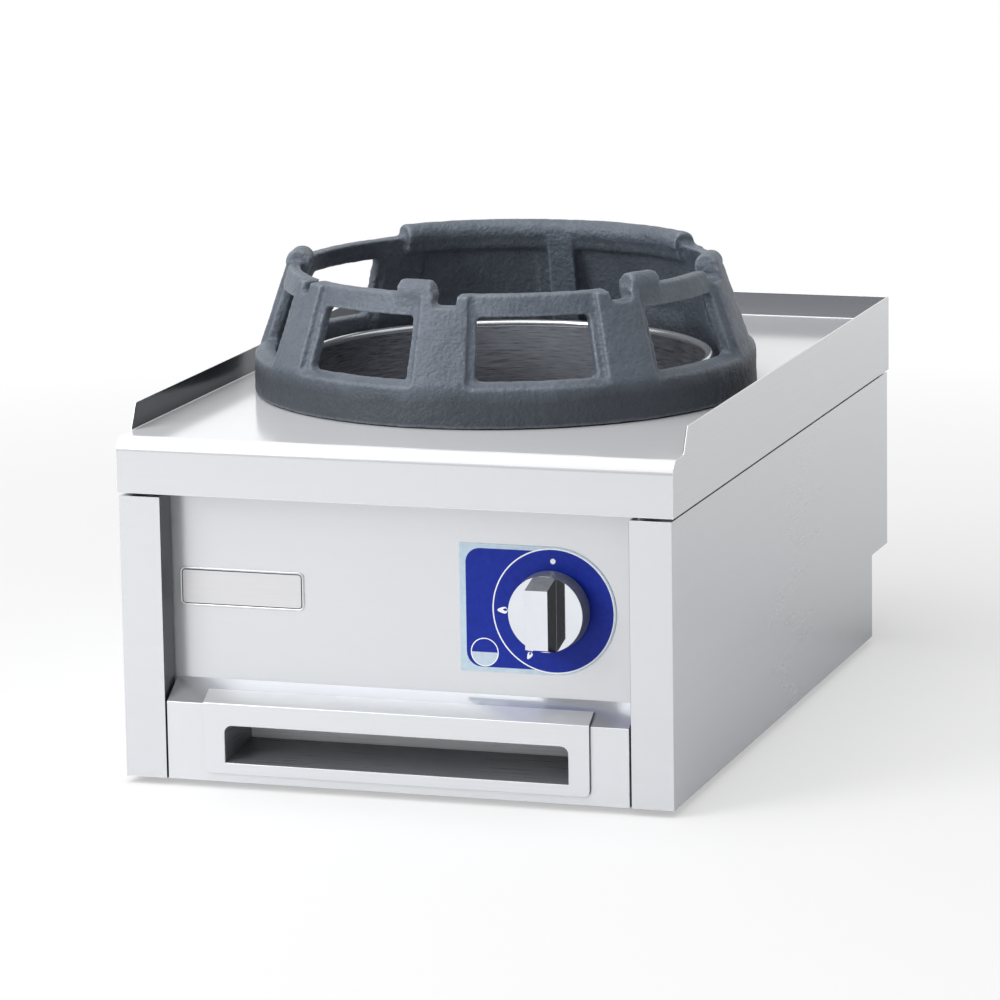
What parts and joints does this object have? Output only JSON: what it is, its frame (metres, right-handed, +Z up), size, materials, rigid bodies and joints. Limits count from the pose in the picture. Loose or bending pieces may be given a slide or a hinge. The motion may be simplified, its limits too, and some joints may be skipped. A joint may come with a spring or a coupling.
{
  "type": "wok burner",
  "caption": "Countertop gas wok burner: steel cabinet, cast iron wok ring over a sunken burner, push-and-turn gas tap and a drip tray that slides out of the front.",
  "frame": {"origin": "on the floor under the middle of the part's box", "axes": "+X to the user's right, +Y to the back, +Z up; the knob and the drip tray face -Y"},
  "size_m": [0.4, 0.618, 0.3448],
  "materials": {
    "stainless": "fine brushed",
    "inner_steel": "brushed",
    "zinc_steel": "zinc plated",
    "cast_iron": "sand cast",
    "chrome": "polished",
    "brass": "turned",
    "copper": "drawn tube",
    "name_plate": "satin",
    "label": "printed film",
    "rubber": "matt"
  },
  "bodies": {
    "cabinet": {"worktop": "stainless", "side_panel_left": "stainless", "side_panel_right": "stainless", "rear_panel": "inner_steel", "rear_panel_screws": "zinc_steel", "base_pan": "inner_steel", "control_panel": "stainless", "lower_front_frame": "stainless", "name_plate": "name_plate", "control_label": "label", "rubber_feet": "rubber", "foot_screws": "zinc_steel", "foot_nuts": "zinc_steel", "tray_runner_left": "zinc_steel", "tray_runner_right": "zinc_steel", "well_wall": "inner_steel", "well_floor": "inner_steel", "burner_bar": "zinc_steel", "injector_bar": "zinc_steel", "burner_bowl": "cast_iron", "burner_bolts": "zinc_steel", "mixing_tube": "cast_iron", "injector_holder": "brass", "injector": "brass", "gas_valve": "brass", "valve_bonnet": "brass", "valve_nut": "zinc_steel", "return_spring": "zinc_steel", "magnet_unit": "zinc_steel", "gas_inlet": "zinc_steel", "inlet_nuts": "zinc_steel", "supply_pipe": "copper", "burner_pipe": "copper", "pilot_pipe": "copper", "pilot_burner": "zinc_steel", "pilot_bracket": "zinc_steel", "thermocouple": "zinc_steel", "thermocouple_lead": "copper"},
    "ring": {"wok_ring": "cast_iron"},
    "tray": {"tray_front": "stainless", "finger_recess": "inner_steel", "drip_pan": "inner_steel"},
    "plunger": {"valve_plunger": "zinc_steel"},
    "knob": {"knob": "chrome", "knob_screw": "zinc_steel", "valve_spindle": "zinc_steel"},
    "cap": {"burner_cap": "cast_iron"},
    "shutter": {"air_shutter": "zinc_steel", "shutter_screw": "zinc_steel"}
  },
  "joints": [
    {"name": "ring_lift", "type": "slide", "parent": "cabinet", "child": "ring", "axis": [0, 0, 1], "range_m": [0, 0.1]},
    {"name": "tray_slide", "type": "slide", "parent": "cabinet", "child": "tray", "axis": [0, -1, 0], "range_m": [0, 0.36]},
    {"name": "knob_push", "type": "slide", "parent": "cabinet", "child": "plunger", "axis": [0, 1, 0], "range_m": [0, 0.004], "stiffness_N_per_m": 800, "springref_m": -0.004, "deforming": ["return_spring"]},
    {"name": "knob_turn", "type": "hinge", "parent": "plunger", "child": "knob", "pos_m": [0.1085, -0.28, 0.1358], "axis": [0, -1, 0], "range_deg": [0, 150]},
    {"name": "cap_lift", "type": "slide", "parent": "cabinet", "child": "cap", "axis": [0, 0, 1], "range_m": [0, 0.06]},
    {"name": "shutter_slide", "type": "slide", "parent": "cabinet", "child": "shutter", "axis": [0, 1, 0], "range_m": [0, 0.005]}
  ]
}
